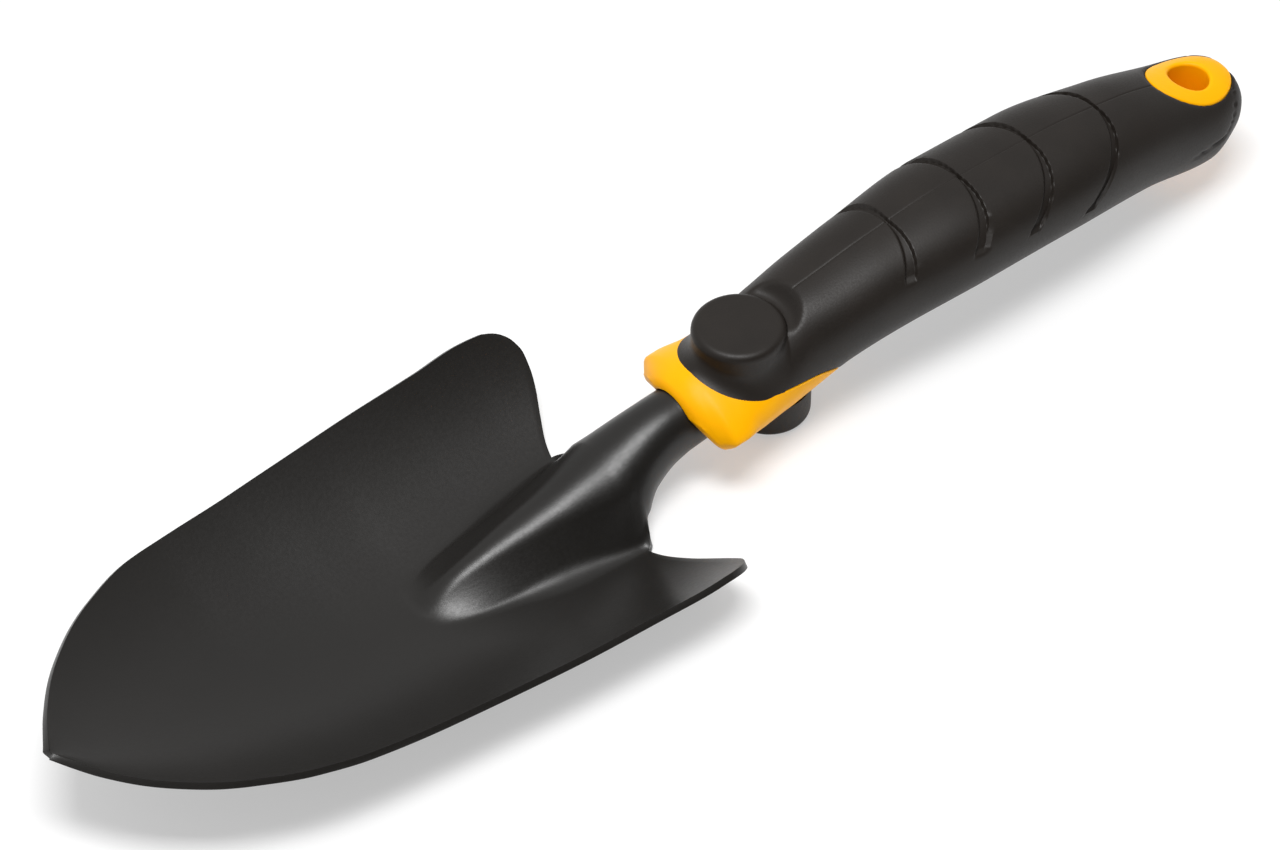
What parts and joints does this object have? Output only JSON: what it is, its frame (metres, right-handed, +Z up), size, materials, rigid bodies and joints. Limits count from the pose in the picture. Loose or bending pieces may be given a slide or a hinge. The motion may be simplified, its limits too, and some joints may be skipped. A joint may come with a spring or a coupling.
{
  "type": "planting trowel",
  "caption": "Hand planting trowel: pointed, dished steel blade with a rolled neck, in a curved two-colour moulded handle with thumb rest, finger stop, grip grooves and hang hole.",
  "frame": {"origin": "On the ground, under the middle of the bounding box, with the trowel lying as it rests: on the belly of its blade and on its finger stop.", "axes": "+X runs along the tool from the butt of the handle to the tip of the blade, Z is up and Y is across. The tool's own axis is pitched about 2 degrees, tip up."},
  "size_m": [0.3254, 0.0926, 0.039],
  "materials": {
    "black_paint": "satin black powder coat over pressed steel sheet",
    "yellow_plastic": "semi-gloss warm yellow moulded plastic",
    "black_rubber": "matte black soft overmould"
  },
  "bodies": {
    "root": {"blade": "black_paint", "handle_core": "yellow_plastic", "grip_cover": "black_rubber", "finger_stop": "black_rubber"}
  },
  "joints": []
}
